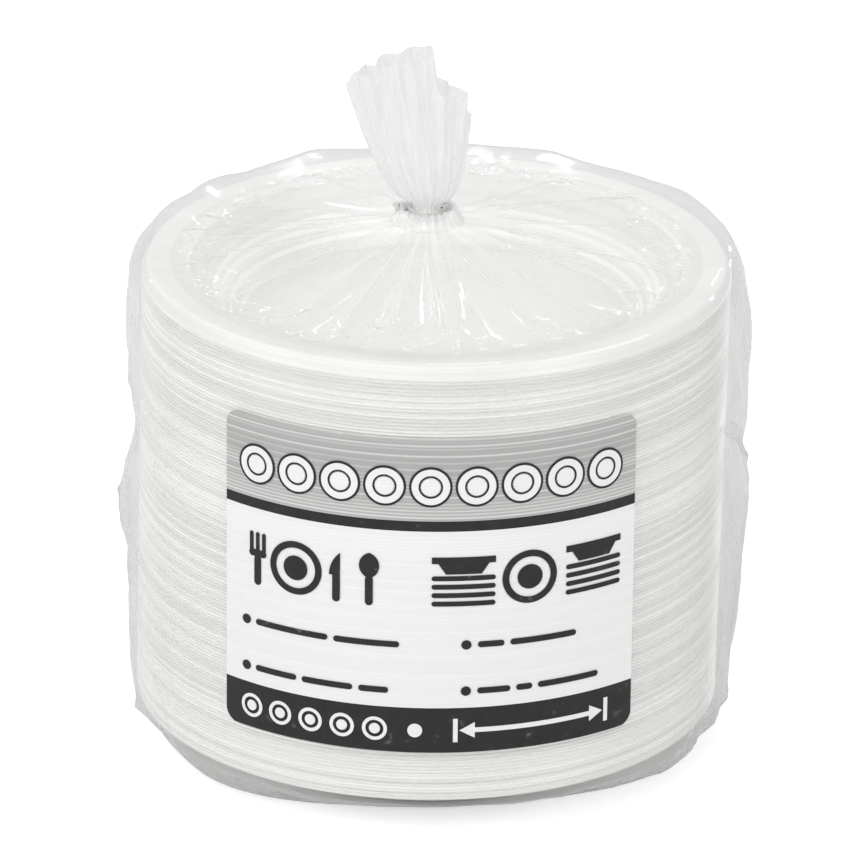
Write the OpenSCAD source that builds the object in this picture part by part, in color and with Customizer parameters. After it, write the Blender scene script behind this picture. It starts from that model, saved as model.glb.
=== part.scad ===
// A stack of thin plastic plates in a clear film bag, gathered and tied at the top.
// Millimetres, +Z up, origin on the floor under the middle of the bag, printed panel facing -Y.

/* [Plates] */
// Plates in the stack
plate_count = 125; // [110:5:140]
// Plates that share one node
plates_per_node = 5; // [5:1:10]
// Diameter over the edge of a plate, 7 in
plate_d = 177.8; // [172:0.1:190]
// Thickness of the sheet that a plate is formed from
plate_wall = 0.3; // [0.2:0.01:0.32]
// Height of a plate from the underside of its base to the top of its rim
plate_h = 19; // [16:0.5:22]
// Diameter of the flat base
base_d = 118; // [100:1:120]
// Slope of the side wall from the level, in degrees
wall_slope = 48; // [44:1:58]
// Slope of the rim, which rises outwards, in degrees
rim_slope = 5; // [2:1:8]
// Height of the lip that turns down outside the rim
lip_h = 3.8; // [2.5:0.1:5]
// Slope of the lip from the level, in degrees
lip_slope = 68; // [60:1:68]
// Width of the cut edge that turns out again below the lip
edge_w = 0.5; // [0.3:0.1:0.8]
// Slope of the cut edge from the level, in degrees
edge_slope = 20; // [10:1:30]
// Radius of the bends at the base and at the top of the side wall
bend_r = 3; // [2:0.5:4]
// Radius of the bend between the rim and the lip
lip_bend_r = 1.2; // [0.8:0.1:1.4]

/* [Stacking] */
// Height that each further plate adds to the stack
pitch = 1.085; // [1.07:0.005:1.2]
// How far the top of the stack stands to the right of its bottom
lean = 1.9; // [0:0.1:2]
// How far a plate may sit above its even place
seat_play = 0.06; // [0:0.01:0.06]
// Rise of one side of a plate where it sits slightly tilted
tilt_rise = 0.1; // [0:0.01:0.1]

/* [Bag] */
// Thickness of the film wall as modelled
film_wall = 0.35; // [0.25:0.01:0.4]
// Gap between the film and what it holds
film_gap = 0.05; // [0.02:0.01:0.1]
// How far the tight front of the film stands outside the plates
front_slack = 1.3; // [1.3:0.1:2]
// Reach of the bag's underside to each side
foot_x = 79; // [76:0.5:86]
// Reach of the bag's underside to the front and back
foot_y = 67; // [65:1:80]
// How far the bag's underside stands to the right of the bottom plate
foot_right = 1.8; // [0:0.1:3]
// Height over which the film rises from the floor to the side of the stack
foot_rise = 14; // [12:1:14]
// How much higher the film stands over the rim at the back than at the front
back_rise = 2.9; // [0:0.1:3.5]
// Depth of the small gathers between the rim and the neck
gather_depth = 0.6; // [0.4:0.1:1.3]
// Height of the highest of the long pleats that run to the neck
pleat_h = 2.4; // [1:0.1:2.6]

/* [Neck and tail] */
// Height of the tied neck above the rim of the top plate
neck_rise = 16; // [14:0.5:20]
// How far the neck stands to the left of the top plate's middle
neck_left = 3; // [0:0.5:6]
// Radius of the gathered film inside the tie
neck_r = 4.3; // [3.5:0.1:5]
// Length of the straight neck that the tie goes round
neck_h = 4; // [3.8:0.1:6]
// Height of the tail's middle lobe above the neck
tail_h = 47.5; // [40:0.5:60]
// How much lower the tail's left lobe ends
left_lobe_drop = 5; // [2:0.5:10]
// How much lower the tail's right lobe ends
right_lobe_drop = 14; // [8:0.5:20]
// How much the cut end climbs to the right across the middle lobe
cut_climb = 3; // [0:0.5:5]
// Half width of the tail at its cut end
tail_half_w = 18.5; // [14:0.5:22]
// Half depth of the tail at its cut end
tail_half_d = 6.5; // [5:0.5:9]
// How far the tail leans to the left on its way up
tail_left = 6; // [2:0.5:8]

/* [Tie] */
// Diameter of the plastic coating on the tie wire
coating_d = 1.44; // [1.2:0.02:1.5]
// Diameter of the wire core
core_d = 0.7; // [0.5:0.02:0.8]
// Clearance between coating and core, and between tie and film
tie_gap = 0.05; // [0.02:0.01:0.08]

/* [Printed panel] */
// Height of the panel's lower edge above the floor
panel_z = 31.5; // [28:0.5:34]
// Width of the panel, measured along the film
panel_w = 132; // [120:1:134]
// Height of the dark band along the bottom
dark_band_h = 14.5; // [13:0.5:16]
// Height of the white field
white_field_h = 57; // [54:0.5:58]
// Height of the dark stripe above the white field
stripe_h = 3.3; // [2:0.1:4]
// Height of the silver band at the top
silver_band_h = 26; // [24:0.5:27]
// Radius of the panel's four corners
corner_r = 5; // [2:0.5:6]
// Thickness of a printed layer as modelled
ink = 0.15; // [0.1:0.01:0.2]
// Gap under each printed layer
ink_gap = 0.1; // [0.05:0.01:0.15]

/* [Printed marks] */
// Emblems in the silver band
emblem_count = 9; // [5:1:9]
// Width of an emblem
emblem_w = 12.8; // [10:0.1:12.8]
// Distance from one emblem to the next
emblem_step = 13.6; // [13.4:0.1:13.8]
// Height of the emblems' middles above the lower edge of the silver band
emblem_rise = 11; // [9:0.5:14]
// Width of the dark line round an emblem
line_w = 0.7; // [0.4:0.1:1]
// Height of the large dark signs in the white field
sign_h = 17; // [14:0.5:18]
// Height of the signs' middles above the lower edge of the white field
sign_rise = 41; // [38:0.5:43]
// Diameter of the round bullets
bullet_d = 3; // [2:0.1:3.6]
// Height of the bars beside the bullets
bar_h = 1.9; // [1.2:0.1:2.6]
// Diameter of the dot in the middle of the dark band
dot_d = 4.4; // [3:0.1:6]
// Diameter of the small plate signs in the dark band
badge_d = 7.6; // [6:0.1:8.4]

/* [Hidden] */
around = 80;              // points round the film
gather_waves = [16, 23];  // folds round the bag, as two waves
bend_flats = 3;           // flats in each bend of a plate's section
wire_sides = 8;           // sides of the tie wire
wire_bend = 20;           // degrees between points of the tie round the neck
neck_fold = 0.08;         // depth of the folds at the neck, as a share of its radius
tail_fold = 0.16;         // the same at the tail's cut end, from front to back
tail_side_fold = 0.05;    // and from side to side
$fn = 96;

plate_r = plate_d / 2;
middle_x = -lean / 2;
stack_z = film_wall + film_gap;
rim_z = stack_z + (plate_count - 1) * pitch + plate_h;
lip_z = rim_z - lip_h;
neck_z = rim_z + neck_rise;
neck = [-neck_left, 0];
tail_z = neck_z + neck_h / 2;
front_r = plate_r + front_slack;
print_r = front_r + ink_gap;
mark_r = print_r + ink + ink_gap;
tie_r = (neck_r * (1 + neck_fold) + tie_gap + coating_d / 2) / cos(wire_bend / 2);

// The film's reach outside the plates: per cent of the way up the stack, left, right
film_slack = [
    [0, 2.2, 4.6], [10, 2.7, 5.4], [24, 2.9, 6.1], [35, 3.5, 6.9], [41, 5.0, 7.0], [47, 6.4, 8.1],
    [53, 3.7, 6.9], [60, 1.2, 4.9], [68, 0.9, 5.6], [80, 3.6, 6.9], [100, 3.9, 3.6]
];
back_share = 0.6;         // share of that reach left at the back
half_angle = panel_w / front_r * 90 / PI;
tight_half = half_angle + 3;   // degrees from the front over which the film is tight
loose_half = tight_half + 18;  // degrees from the front at which it is fully loose
foot_power = 3.5;         // squareness of the bag's underside
foot_round = 2;           // how far the underside's edge is rounded in
// The film over the rim: height above the lip's lower edge, distance in from the side
shoulder_rows = [[1.5, 0.3], [3.6, 1.3]];
shoulder_in = 5.5;        // where the cone towards the neck begins, in from the side
shoulder_z = rim_z + 1.2;
rise_start = 45;          // degrees from the front at which the film begins to rise at the back
rise_end = 105;           // degrees from the front at which it has risen
right_rise = 0.6;         // how much more it rises on the right than in the middle
// The cone hugs the rim at first, then rises evenly, and more steeply close to the neck
rim_share = 0.13;         // share of the way to the neck over which the film hugs the rim
rim_drop = 0.9;           // how far it comes down on that part
steep_share = 0.22;       // share of the cone's height gained close to the neck
// Long pleats of the cone: the point round the film, counted from the front, that a pleat runs
// along, its height as a share of pleat_h, and how far from the rim it ends as a share of the way
long_pleats = [
    [0, 0.8, 0.15], [2, 1, 0.1], [5, 0.9, 0.2], [9, 1, 0.1], [13, 0.8, 0.2], [17, 0.9, 0.12],
    [23, 0.8, 0.18], [28, 1, 0.12], [32, 0.8, 0.2], [41, 0.7, 0.2], [48, 0.9, 0.12], [54, 0.8, 0.18],
    [57, 1, 0.1], [59, 0.8, 0.15], [62, 1, 0.1], [67, 0.9, 0.15], [72, 0.8, 0.2], [75, 1, 0.1],
    [78, 0.9, 0.12]
];
pleat_start = 0.15;       // share of the way over which a pleat rises from its end
pleat_fade = 0.6;         // share of the way at which it begins to sink towards the neck
// Where the rings of film lie: up the foot, from rim to neck, and up the tail
foot_shares = [0, 0.1, 0.35, 0.65];
cone_shares = [0, 0.1, 0.25, 0.42, 0.6, 0.76, 0.88, 0.95];
tail_shares = [0.02, 0.12, 0.3, 0.52, 0.76, 1];

group_count = ceil(plate_count / plates_per_node);
function group_name(g) = str("plates_", g < 10 ? "0" : "", g);

// Helpers
function mix(a, b, t) = a + (b - a) * t;
function clamped(t) = max(0, min(1, t));
function eased(t) = let (c = clamped(t)) c * c * (3 - 2 * c);
function unit(v) = v / norm(v);
function dir(a) = [cos(a), sin(a)];
function reversed(list) = [for (i = [len(list) - 1:-1:0]) list[i]];
function flat(lists) = [for (list = lists) for (item = list) item];

// Solid through a row of rings: its ends are closed, or its last ring is joined to its first
module lofted(rings, looped = false) {
    n = len(rings[0]);
    last = len(rings) - 1;
    skin = [
        for (k = [0:looped ? last : last - 1]) for (j = [0:n - 1])
            let (a = k * n, b = (k == last ? 0 : k + 1) * n, i = (j + 1) % n)
            each [[a + j, b + j, b + i], [a + j, b + i, a + i]]
    ];
    ends = looped ? [] : [[for (j = [0:n - 1]) j], [for (j = [n - 1:-1:0]) last * n + j]];
    polyhedron(flat(rings), concat(skin, ends), convexity = 10);
}

// One plate: its section is a line with rounded bends, given a wall on both sides
function bend(a, b, c, r) =
    let (
        d1 = unit(b - a), d2 = unit(c - b),
        turn = atan2(d1.x * d2.y - d1.y * d2.x, d1 * d2),
        start = b - d1 * r * tan(abs(turn) / 2),
        h = atan2(d1.y, d1.x), s = sign(turn)
    )
    [for (k = [0:bend_flats]) let (g = h + turn * k / bend_flats)
        start + s * r * [sin(g) - sin(h), cos(h) - cos(g)]];

function offset_line(line, d) =
    [for (i = [0:len(line) - 1])
        let (
            before = i == 0 ? line[1] - line[0] : line[i] - line[i - 1],
            after = i == len(line) - 1 ? before : line[i + 1] - line[i],
            n1 = unit([-before.y, before.x]), n2 = unit([-after.y, after.x])
        )
        line[i] + d * (n1 + n2) / (1 + n1 * n2)];

function plate_line() =
    let (
        edge = [plate_r, plate_h - lip_h - plate_wall],
        lip_foot = edge + edge_w * [-cos(edge_slope), sin(edge_slope)],
        lip_top_z = plate_h - plate_wall / 2,
        lip_top = [lip_foot.x - (lip_top_z - lip_foot.y) / tan(lip_slope), lip_top_z],
        base = [base_d / 2, plate_wall / 2],
        wall_run = (lip_top_z - base.y - (lip_top.x - base.x) * tan(rim_slope))
            / (tan(wall_slope) - tan(rim_slope)),
        wall_top = base + wall_run * [1, tan(wall_slope)]
    )
    concat(
        [[0, base.y]],
        bend([0, base.y], base, wall_top, bend_r),
        bend(base, wall_top, lip_top, bend_r),
        bend(wall_top, lip_top, lip_foot, lip_bend_r),
        [lip_foot, edge]
    );

module plate() {
    line = plate_line();
    rotate_extrude()
        polygon(concat(offset_line(line, -plate_wall / 2), reversed(offset_line(line, plate_wall / 2))));
}

// Place of plate i, counted from the bottom: a lean, a little play and a slowly turning tilt
play = rands(0, seat_play, plate_count, 7);
tilt = asin(tilt_rise / plate_r) / 2;

module stacked_plate(i) {
    up = i / (plate_count - 1);
    translate([lean * (up - 1), 0, stack_z + i * pitch + (i == 0 ? 0 : play[i])])
        rotate(i == 0 ? [0, 0, 0] : [tilt * sin(i * 37), tilt * cos(i * 37), 0]) plate();
}

module plates(g) {
    color("white") for (i = [(g - 1) * plates_per_node:min(g * plates_per_node, plate_count) - 1])
        stacked_plate(i);
}

// The bag's film. Point j of a ring is counted from the front, anticlockwise seen from above
function angle(j) = -90 + j * 360 / around;
function off_front(j) = min(j, around - j) * 360 / around;
function fold(j) = 0.6 * cos(gather_waves[0] * angle(j)) + 0.4 * cos(gather_waves[1] * angle(j) + 40);
function slack(p, side) = lookup(p, [for (row = film_slack) [row[0], row[side]]]);

function side_point(p, j, inset) =
    let (
        a = angle(j),
        rightness = (1 + cos(a)) / 2,
        reach = mix(slack(p, 1), slack(p, 2), rightness) * mix(1, back_share, clamped(sin(a))),
        loose = [-lean * (1 - p / 100), 0] + (plate_r + reach - inset) * dir(a),
        tight = [middle_x, 0] + (front_r - inset) * dir(a)
    )
    mix(tight, loose, eased((off_front(j) - tight_half) / (loose_half - tight_half)));

function foot_point(j, inset) =
    let (
        a = angle(j),
        reach = (abs(cos(a) / foot_x) ^ foot_power + abs(sin(a) / foot_y) ^ foot_power) ^ (-1 / foot_power)
    )
    [foot_right - lean, 0] + (reach - inset) * dir(a);

function at_height(p, z) = [p.x, p.y, z];

function foot_ring(share, inset, lift) =
    [for (j = [0:around - 1]) at_height(
        mix(foot_point(j, inset), side_point(0, j, inset), sin(90 * share)), foot_rise * share + lift)];

function side_ring(p, inset) =
    [for (j = [0:around - 1]) at_height(side_point(p, j, inset), mix(foot_rise, lip_z, p / 100))];

function shoulder_lift(j) =
    (back_rise + right_rise * cos(angle(j))) * eased((off_front(j) - rise_start) / (rise_end - rise_start));

function shoulder_ring(rise, inset) =
    [for (j = [0:around - 1])
        at_height(side_point(100, j, inset), lip_z + rise * (1 + shoulder_lift(j) / (shoulder_z - lip_z)))];

function cone_height(t) =
    let (up = clamped((t - rim_share) / (1 - rim_share)))
    mix(shoulder_z - rim_drop * clamped(t / rim_share), neck_z - neck_h / 2, mix(up, up ^ 7, steep_share));

function pleat(j, t) =
    let (found = [for (row = long_pleats) if (row[0] == j) row])
    len(found) == 0 ? 0 : pleat_h * found[0][1] * eased((t - found[0][2]) / pleat_start)
        * (1 - eased((t - pleat_fade) / (1 - pleat_fade)));

function cone_ring(t, inset, drop) =
    [for (j = [0:around - 1])
        let (
            rim = side_point(100, j, shoulder_in + inset),
            tied = neck + (neck_r * (1 + neck_fold * fold(j)) - inset) * dir(angle(j)),
            gathers = gather_depth * (fold(j) + 0.2) * clamped(4 * t) * (1 - t),
            lift = shoulder_lift(j) * (1 - t) ^ 2
        )
        at_height(mix(rim, tied, t), cone_height(t) + lift + gathers + pleat(j, t) - drop)];

// Height of the tail's cut end: three lobes, from left to right
function lobe_drop(x) = x < -0.5 ? left_lobe_drop : x > 0.45 ? right_lobe_drop : 0;

function tail_ring(u, inset) =
    [for (j = [0:around - 1])
        let (
            a = angle(j),
            middle = neck - [tail_left * u ^ 0.8, 0],
            half_w = mix(neck_r, tail_half_w, u ^ 0.42) * (1 + mix(neck_fold, tail_side_fold, u) * fold(j)),
            half_d = mix(neck_r, tail_half_d, u) * (1 + mix(neck_fold, tail_fold, u) * fold(j)),
            top_z = tail_z + tail_h - lobe_drop(cos(a)) + cut_climb * cos(a)
        )
        at_height(middle + [(half_w - inset) * cos(a), (half_d - inset) * sin(a)], mix(tail_z, top_z, u))];

// The film's outer face from the floor to the cut end; depth is 0 there and film_wall inside
function film_rings(depth) = concat(
    [for (s = foot_shares) foot_ring(s, s == 0 ? foot_round + depth : depth, s < 0.2 ? depth : depth / 2)],
    [for (row = film_slack) side_ring(row[0], depth)],
    [for (row = shoulder_rows) shoulder_ring(row[0], row[1] + depth)],
    [for (t = cone_shares) cone_ring(t, 0, depth)],
    [cone_ring(1, depth, depth), tail_ring(0, depth)],
    [for (u = tail_shares) tail_ring(u, depth)]
);

module bag() {
    color([0.93, 0.94, 0.94, 0.45]) lofted(concat(film_rings(0), reversed(film_rings(film_wall))));
}

// The tie: one coated wire, wound twice round the neck, twisted to a curl on the left,
// its other end standing out at the front. Each row: degrees from the right, reach, height
tie_route = [
    [-62, 3.8, 3.2], [-50, 1.9, 2.3], [-25, 0.5, 1.4], [10, 0, 0.9], [50, 0, 0.8], [90, 0, 0.7],
    [130, 0, 0.6], [170, 0, 0.4], [210, 0, 0], [250, 0, -0.4], [290, 0, -0.6], [330, 0, -0.8],
    [370, 0, -0.9], [410, 0, -1], [450, 0, -1.1], [490, 0, -1.2], [520, 0.3, -1.1], [545, 1.2, -0.8]
];
curl_r = 1.05;
curl_step = 1.65;
curl_turns = 1.75;

function tie_point(row) = at_height(neck + (tie_r + row[1]) * dir(row[0]), neck_z + row[2]);
curl_start = tie_point(tie_route[len(tie_route) - 1]);
curl_points = [for (k = [1:curl_turns * 8])
    curl_start + [-curl_step * k / 8 - 0.3, -curl_r * sin(45 * k), curl_r * (1 - cos(45 * k))]];
tie_knots = concat([for (row = tie_route) tie_point(row)], curl_points);

function spline(p, i, t) =
    let (a = p[max(i - 1, 0)], b = p[i], c = p[i + 1], d = p[min(i + 2, len(p) - 1)])
    0.5 * (2 * b + (c - a) * t + (2 * a - 5 * b + 4 * c - d) * t ^ 2 + (3 * b - a - 3 * c + d) * t ^ 3);

tie_path = concat(
    [for (i = [0:len(tie_knots) - 2]) for (t = [0, 0.5]) spline(tie_knots, i, t)],
    [tie_knots[len(tie_knots) - 1]]
);

function tangent(p, i) = unit(p[min(i + 1, len(p) - 1)] - p[max(i - 1, 0)]);
function square_to(v, t) = unit(v - (v * t) * t);
function carried_normals(p) =
    [for (i = 0, n = square_to([0, 0, 1], tangent(p, 0)); i < len(p);
        i = i + 1, n = square_to(n, tangent(p, min(i, len(p) - 1)))) n];

function wire_rings(p, r) =
    let (normals = carried_normals(p))
    [for (i = [0:len(p) - 1])
        let (n = normals[i], b = cross(tangent(p, i), n))
        [for (j = [0:wire_sides - 1]) let (a = j * 360 / wire_sides) p[i] + r * (cos(a) * n + sin(a) * b)]];

module tie_coating() {
    color([0.9, 0.9, 0.88, 0.7])
        lofted(concat(wire_rings(tie_path, coating_d / 2), reversed(wire_rings(tie_path, core_d / 2 + tie_gap))),
            looped = true);
}

module tie_wire() {
    color("dimgray") lofted(wire_rings(tie_path, core_d / 2));
}

// Printed panel: thin curved layers just outside the tight front of the film
white_z = panel_z + dark_band_h;
stripe_z = white_z + white_field_h;
silver_z = stripe_z + stripe_h;

// Turns what is drawn at the front to distance s along the film
module round_to(s) {
    translate([middle_x, 0, 0]) rotate([0, 0, s / front_r * 180 / PI]) children();
}

module layer(z, h, r = print_r) {
    translate([middle_x, 0, z]) rotate([0, 0, -90 - half_angle])
        rotate_extrude(angle = 2 * half_angle) translate([r, 0]) square([ink, h]);
}

// Pushes a flat shape, drawn upright at the front, through the film at distance s and height z
cutter_in = 6;            // how far behind the marks the pushed shape starts
cutter_l = 10;            // how long it is

module through(s, z) {
    round_to(s) translate([0, cutter_in - mark_r, z]) rotate([90, 0, 0]) linear_extrude(cutter_l) children();
}

// Rounds two corners of the panel at height z. The cut meets the edges at a slight angle
module corner_cuts(z, up) {
    bite = corner_r * 0.96;
    for (side = [-1, 1])
        through(side * (panel_w / 2 - bite), z - up * bite) scale([side, up]) difference() {
            square(corner_r * 2);
            circle(corner_r);
        }
}

module print_silver_band() {
    color("silver") difference() {
        layer(silver_z, silver_band_h);
        corner_cuts(silver_z + silver_band_h, 1);
    }
}

module print_dark_stripe() {
    color([0.17, 0.17, 0.17]) layer(stripe_z, stripe_h);
}

module print_white_field() {
    color([0.94, 0.95, 0.94]) layer(white_z, white_field_h);
}

module print_dark_band() {
    color([0.17, 0.17, 0.17]) difference() {
        layer(panel_z, dark_band_h);
        corner_cuts(panel_z, -1);
    }
}

// Keeps the part of its children that lies in the layer of marks
module as_marks() {
    intersection() {
        layer(panel_z, silver_z + silver_band_h - panel_z, mark_r);
        union() children();
    }
}

module ring(d, w) {
    difference() {
        circle(d = d);
        circle(d = d - 2 * w);
    }
}

module bar(w, h) {
    square([w - h, h], center = true);
    for (side = [-1, 1]) translate([side * (w - h) / 2, 0]) circle(d = h);
}

// Silver band: a row of plates seen from above
module emblems() {
    for (k = [0:emblem_count - 1])
        through((k - (emblem_count - 1) / 2) * emblem_step, silver_z + emblem_rise) children();
}

well_d = emblem_w * 0.56;
hair = 0.08;

module emblem_whites() {
    ring(emblem_w - 2 * line_w - hair, (emblem_w - 2 * line_w - well_d) / 2 - hair);
    circle(d = well_d - 2 * line_w - hair);
}

module emblem_lines() {
    ring(emblem_w, line_w);
    ring(well_d, line_w * 0.7);
}

// Large signs for the table: cutlery, a plate from above, a plate from the side and a stack
handle_w = sign_h * 0.14;

module handle() {
    translate([0, -sign_h * 0.22]) rotate(90) bar(sign_h * 0.56, handle_w);
}

module fork_sign() {
    handle();
    translate([0, sign_h * 0.1]) bar(sign_h * 0.36, sign_h * 0.13);
    for (k = [-1:1]) translate([k * sign_h * 0.13, sign_h * 0.29]) rotate(90) bar(sign_h * 0.42, sign_h * 0.075);
}

module knife_sign() {
    handle();
    intersection() {
        translate([sign_h * 0.43, 0]) circle(sign_h * 0.56);
        translate([-handle_w, 0]) square([handle_w * 1.5, sign_h / 2]);
    }
}

module spoon_sign() {
    handle();
    intersection_for(side = [-1, 1])
        translate([side * sign_h * 0.07, sign_h * 0.25]) circle(sign_h * 0.25);
}

module plate_sign() {
    ring(sign_h, sign_h * 0.12);
    circle(d = sign_h * 0.46);
}

module dish_sign(w) {
    translate([0, -sign_h * 0.2]) polygon([
        [-w / 2, sign_h * 0.32], [w / 2, sign_h * 0.32], [w / 2, sign_h * 0.2],
        [w * 0.4, sign_h * 0.2], [w * 0.28, 0], [-w * 0.28, 0], [-w * 0.4, sign_h * 0.2], [-w / 2, sign_h * 0.2]
    ]);
}

module stack_sign(w) {
    for (k = [0:3]) translate([0, sign_h * (0.16 * k - 0.42)]) bar(w, sign_h * 0.09);
    translate([0, sign_h * 0.34]) dish_sign(w);
}

// Distances from the panel's middle: fork, plate, knife, spoon, then stack, plate, stack
cutlery_s = [-54, -41, -28, -18];
stack_s = [10, 30, 51];
stack_sign_w = 19;

module signs() {
    z = white_z + sign_rise;
    through(cutlery_s[0], z) fork_sign();
    through(cutlery_s[1], z) plate_sign();
    through(cutlery_s[2], z) knife_sign();
    through(cutlery_s[3], z) spoon_sign();
    through(stack_s[0], z) stack_sign(stack_sign_w);
    through(stack_s[1], z) plate_sign();
    through(stack_s[2], z) stack_sign(stack_sign_w);
}

// Bulleted rows: height above the white field's edge, start, then the bars' lengths
bullet_rows = [
    [20.5, -58, [24, 20]], [5.5, -58, [14, 16, 9]], [20.5, 11, [8, 21]], [5.5, 11, [10, 5, 20]]
];
bar_gap = 1.8;
bullet_gap = 3.4;         // from a bullet's middle to its first bar

function total(list, n) = n == 0 ? 0 : list[n - 1] + bar_gap + total(list, n - 1);

module bullets() {
    for (row = bullet_rows) {
        through(row[1], white_z + row[0]) circle(d = bullet_d);
        for (k = [0:len(row[2]) - 1])
            through(row[1] + bullet_gap + total(row[2], k) + row[2][k] / 2, white_z + row[0])
                bar(row[2][k], bar_h);
    }
}

// Dark band: plates from above, a dot, and a measuring arrow between two stops
badge_count = 5;
badge_s = -56;            // place of the first badge along the film
badge_step = 10;
dot_s = -4;
arrow_s = 32;             // place of the arrow's middle
arrow_half = 24;          // from there to each stop
stop_w = 1.4;
shaft_h = 1.5;
head_l = 4.6;             // length of an arrowhead
head_gap = 1.2;           // between its tip and the stop's middle

module band_marks() {
    z = panel_z + dark_band_h / 2;
    for (k = [0:badge_count - 1]) through(badge_s + k * badge_step, z) {
        ring(badge_d, badge_d * 0.14);
        circle(d = badge_d * 0.44);
    }
    through(dot_s, z) circle(d = dot_d);
    through(arrow_s, z) bar(2 * (arrow_half - head_gap) - head_l, shaft_h);
    for (side = [-1, 1]) {
        through(arrow_s + side * arrow_half, z) square([stop_w, badge_d], center = true);
        through(arrow_s + side * (arrow_half - head_gap - head_l / 2), z)
            polygon([[side * head_l / 2, 0], [-side * head_l / 2, badge_d / 3], [-side * head_l / 2, -badge_d / 3]]);
    }
}

module print_white_marks() {
    color("white") as_marks() {
        emblems() emblem_whites();
        band_marks();
    }
}

module print_dark_marks() {
    color([0.14, 0.14, 0.14]) as_marks() {
        emblems() emblem_lines();
        signs();
        bullets();
    }
}

for (g = [1:group_count]) plates(g);
bag();
tie_coating();
tie_wire();
print_silver_band();
print_dark_stripe();
print_white_field();
print_dark_band();
print_white_marks();
print_dark_marks();
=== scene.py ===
# %% [markdown]
# The pack is a tall stack of thin white plastic plates in a clear film bag. The bag is gathered
# and closed above the stack by a coated wire tie, and its front carries a printed panel. The
# measured model of the pack is loaded first and stays where it is: the plates, the wire tie and
# the layers of ink already have their true shapes, so they only need a finish. The film is
# different. Its look lies in pleats and creases far finer than the measured model holds, so it
# gets a mesh of its own.

# %% Load the measured model
import math

import bmesh
import bpy
import numpy as np
from mathutils import Matrix, Vector


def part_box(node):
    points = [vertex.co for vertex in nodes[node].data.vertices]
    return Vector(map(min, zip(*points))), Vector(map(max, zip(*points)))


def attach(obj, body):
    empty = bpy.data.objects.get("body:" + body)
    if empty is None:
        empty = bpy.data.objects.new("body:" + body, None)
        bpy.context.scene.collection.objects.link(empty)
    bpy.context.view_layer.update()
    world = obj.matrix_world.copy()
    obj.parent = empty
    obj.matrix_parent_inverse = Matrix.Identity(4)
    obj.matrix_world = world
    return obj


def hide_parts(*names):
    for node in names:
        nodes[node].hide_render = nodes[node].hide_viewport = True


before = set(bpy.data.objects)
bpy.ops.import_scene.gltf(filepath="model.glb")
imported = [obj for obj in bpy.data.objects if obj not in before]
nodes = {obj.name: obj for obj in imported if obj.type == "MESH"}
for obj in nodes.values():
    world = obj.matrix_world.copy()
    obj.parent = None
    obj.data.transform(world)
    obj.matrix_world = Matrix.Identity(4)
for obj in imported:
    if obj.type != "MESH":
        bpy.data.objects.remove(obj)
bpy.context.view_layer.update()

scene = bpy.context.scene
MM = 0.001

# %% [markdown]
# Next come the camera and the stage. The photograph was taken from far away through a long lens,
# which is why the plates' edges look almost parallel. A short lens close by could frame the pack
# as well, but would show far more of the top rim than of the bottom one. The camera therefore
# stands two and a half metres away, a little under 24 degrees above the level.

# %% Camera
CAMERA_DISTANCE = 2.5
CAMERA_ELEVATION = math.radians(23.2)
CAMERA_ROLL = math.radians(0.6)
FOCAL_PIXELS = 8200
IMAGE_PIXELS = 850
SENSOR_MM = 36
TARGET = Vector((0.5, 0, 80)) * MM
TARGET_PIXEL = (436.5, 482.5)

back = Vector((0, -math.cos(CAMERA_ELEVATION), math.sin(CAMERA_ELEVATION)))
up = Vector((0, math.sin(CAMERA_ELEVATION), math.cos(CAMERA_ELEVATION)))
pixel = CAMERA_DISTANCE / FOCAL_PIXELS
aim = TARGET - Vector((1, 0, 0)) * (TARGET_PIXEL[0] - IMAGE_PIXELS / 2) * pixel
aim += up * (TARGET_PIXEL[1] - IMAGE_PIXELS / 2) * pixel
camera_place = TARGET + back * CAMERA_DISTANCE
facing = (aim - camera_place).to_track_quat("-Z", "Y")

camera = bpy.data.objects.new("camera", bpy.data.cameras.new("camera"))
camera.data.sensor_width = SENSOR_MM
camera.data.lens = FOCAL_PIXELS / IMAGE_PIXELS * SENSOR_MM
camera.location = camera_place
camera.rotation_mode = "QUATERNION"
camera.rotation_quaternion = facing @ Matrix.Rotation(CAMERA_ROLL, 3, "Z").to_quaternion()
scene.collection.objects.link(camera)
scene.camera = camera
print("lens:", round(camera.data.lens), "mm, camera height:", round(camera_place.z, 2), "m")

# %% [markdown]
# Every finish is a small network of shader nodes. Two helpers keep the networks short: one makes
# a material with its main shader, and the other adds a node and links its inputs in one line.

# %% Helpers for shader networks
def add_node(tree, kind, settings=None, **inputs):
    """Adds a node. Inputs are given by socket name, or as n0, n1 and so on by their place, and
    each is a value or another node's output."""
    node = tree.nodes.new(kind)
    for name, value in (settings or {}).items():
        setattr(node, name, value)
    for name, value in inputs.items():
        numbered = name[0] == "n" and name[1:].isdigit()
        socket = node.inputs[int(name[1:])] if numbered else node.inputs[name]
        if isinstance(value, bpy.types.NodeSocket):
            tree.links.new(value, socket)
        else:
            socket.default_value = value
    return node


def maths(tree, operation, *values):
    """A Math node's output: its values are numbers or outputs."""
    inputs = {f"n{k}": value for k, value in enumerate(values)}
    return add_node(tree, "ShaderNodeMath", {"operation": operation}, **inputs).outputs[0]


def new_material(name, **inputs):
    """A material with one Principled shader, whose plain inputs are set by name."""
    material = bpy.data.materials.new(name)
    material.use_nodes = True
    shader = material.node_tree.nodes["Principled BSDF"]
    for key, value in inputs.items():
        shader.inputs[key.replace("_", " ")].default_value = value
    return material, material.node_tree, shader


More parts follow.
